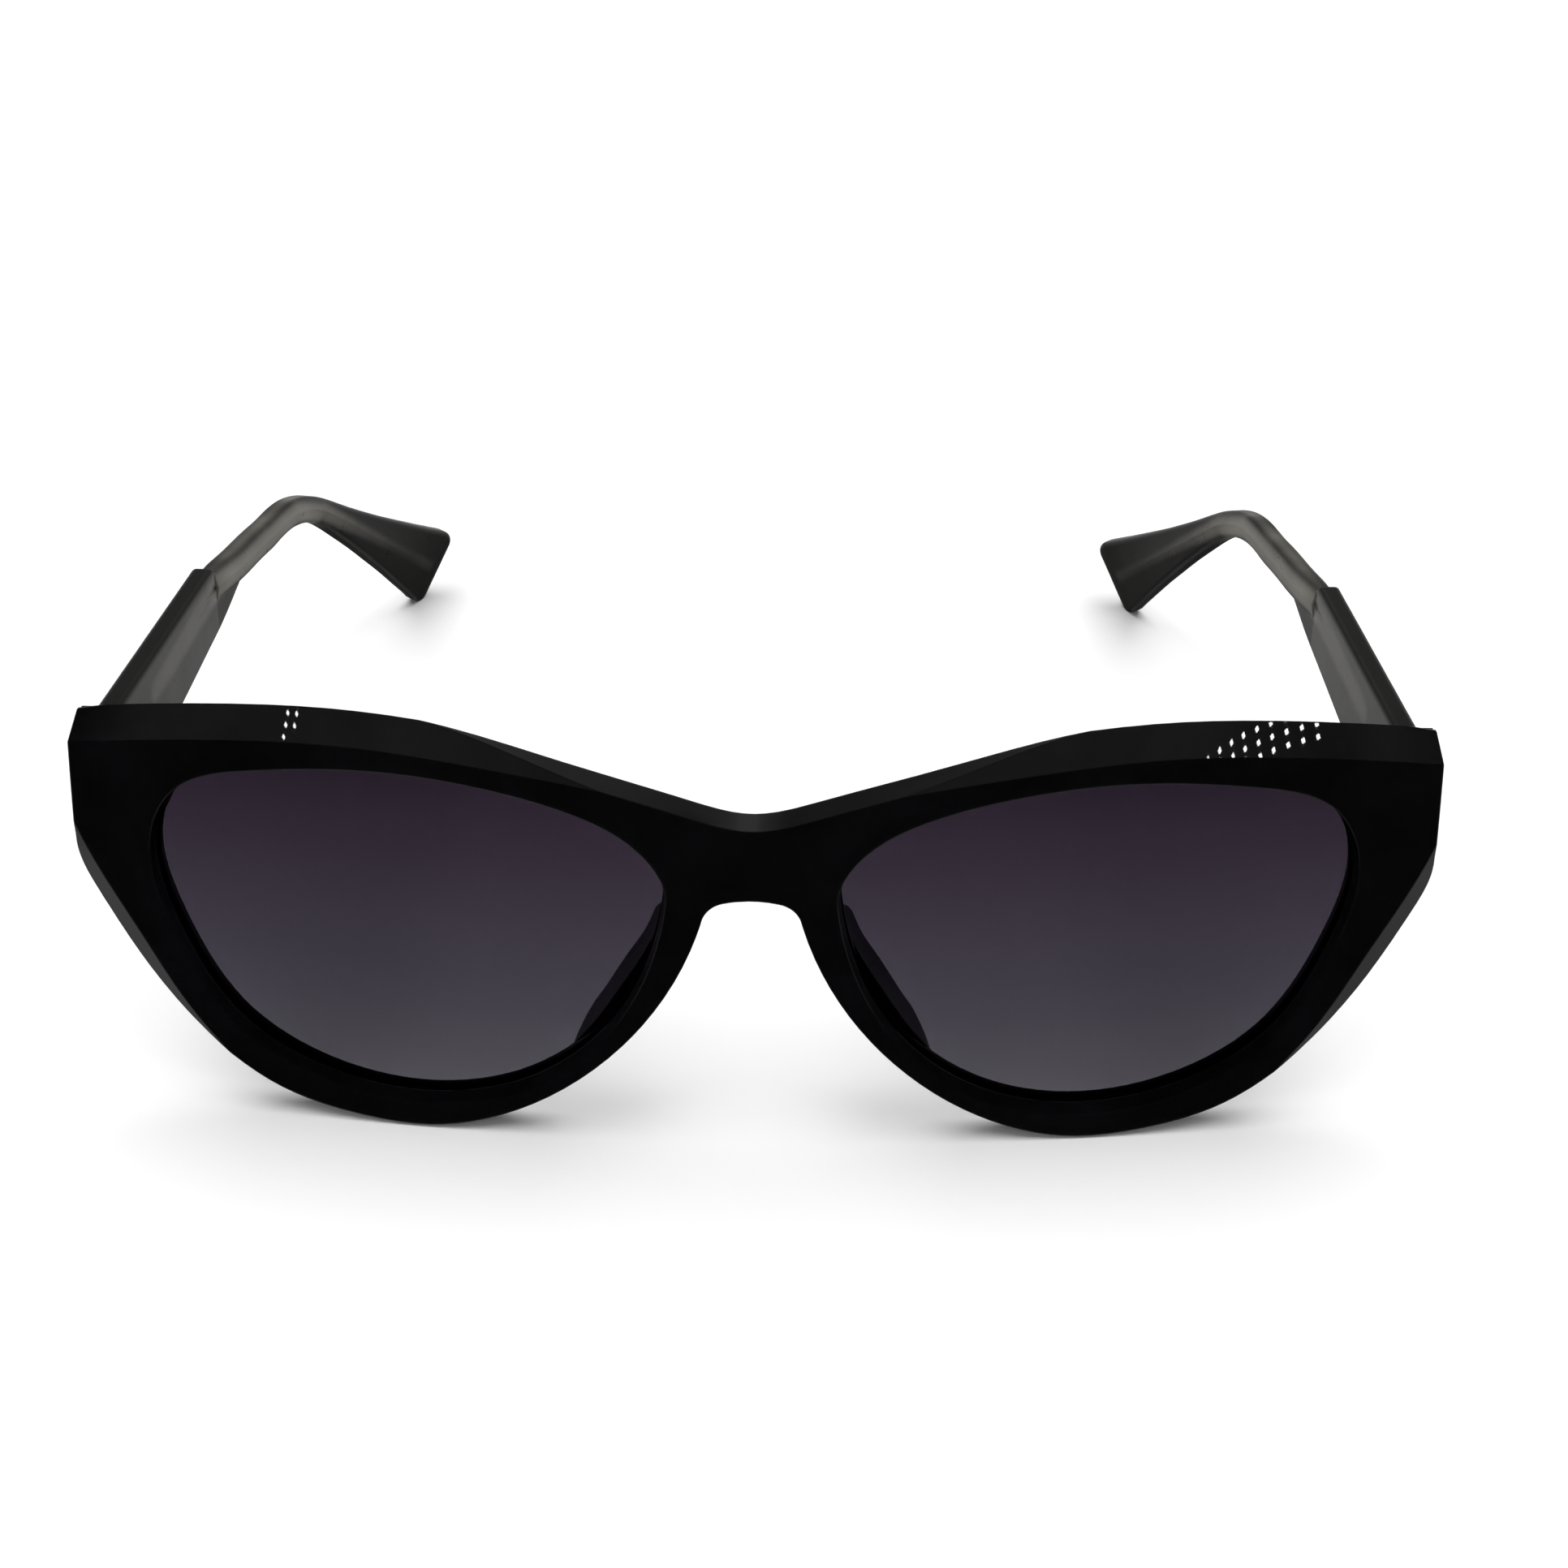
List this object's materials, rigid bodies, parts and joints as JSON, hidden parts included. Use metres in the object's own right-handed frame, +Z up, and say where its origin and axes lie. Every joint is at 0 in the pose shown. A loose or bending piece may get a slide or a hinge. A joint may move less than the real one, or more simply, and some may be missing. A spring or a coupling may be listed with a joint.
{
  "type": "cat eye sunglasses",
  "caption": "Cat eye sunglasses with a thick faceted acetate front, gradient lenses and straight temples that step to a slim arm and a flared tip.",
  "frame": {"origin": "centre of the whole object's footprint, on the table it stands on with the temples open", "axes": "+X towards the wearer's left, across the front; +Y from the front towards the temple tips; +Z up"},
  "size_m": [0.1478, 0.1358, 0.0491],
  "materials": {
    "acetate": "polished black",
    "acetate_temple": "polished smoke black",
    "lens": "grey gradient tint",
    "hinge_metal": "satin",
    "screw_steel": "satin",
    "core_wire": "drawn"
  },
  "bodies": {
    "front": {"frame_front": "acetate", "left_lens": "lens", "right_lens": "lens", "left_nose_pad": "acetate", "right_nose_pad": "acetate", "left_front_leaf": "hinge_metal", "right_front_leaf": "hinge_metal", "left_hinge_screw": "screw_steel", "right_hinge_screw": "screw_steel", "left_front_leaf_screws": "screw_steel", "right_front_leaf_screws": "screw_steel"},
    "left_temple_body": {"left_temple": "acetate_temple", "left_core_wire": "core_wire", "left_temple_leaf": "hinge_metal", "left_temple_leaf_screws": "screw_steel"},
    "right_temple_body": {"right_temple": "acetate_temple", "right_core_wire": "core_wire", "right_temple_leaf": "hinge_metal", "right_temple_leaf_screws": "screw_steel"}
  },
  "joints": [
    {"name": "left_temple_fold", "type": "hinge", "parent": "front", "child": "left_temple_body", "pos_m": [0.06735, -0.05165, 0.03947], "axis": [0, 0.0929, 0.9957], "range_deg": [0, 85]},
    {"name": "right_temple_fold", "type": "hinge", "parent": "front", "child": "right_temple_body", "pos_m": [-0.06735, -0.05165, 0.03947], "axis": [0, -0.0929, -0.9957], "range_deg": [0, 78]}
  ]
}
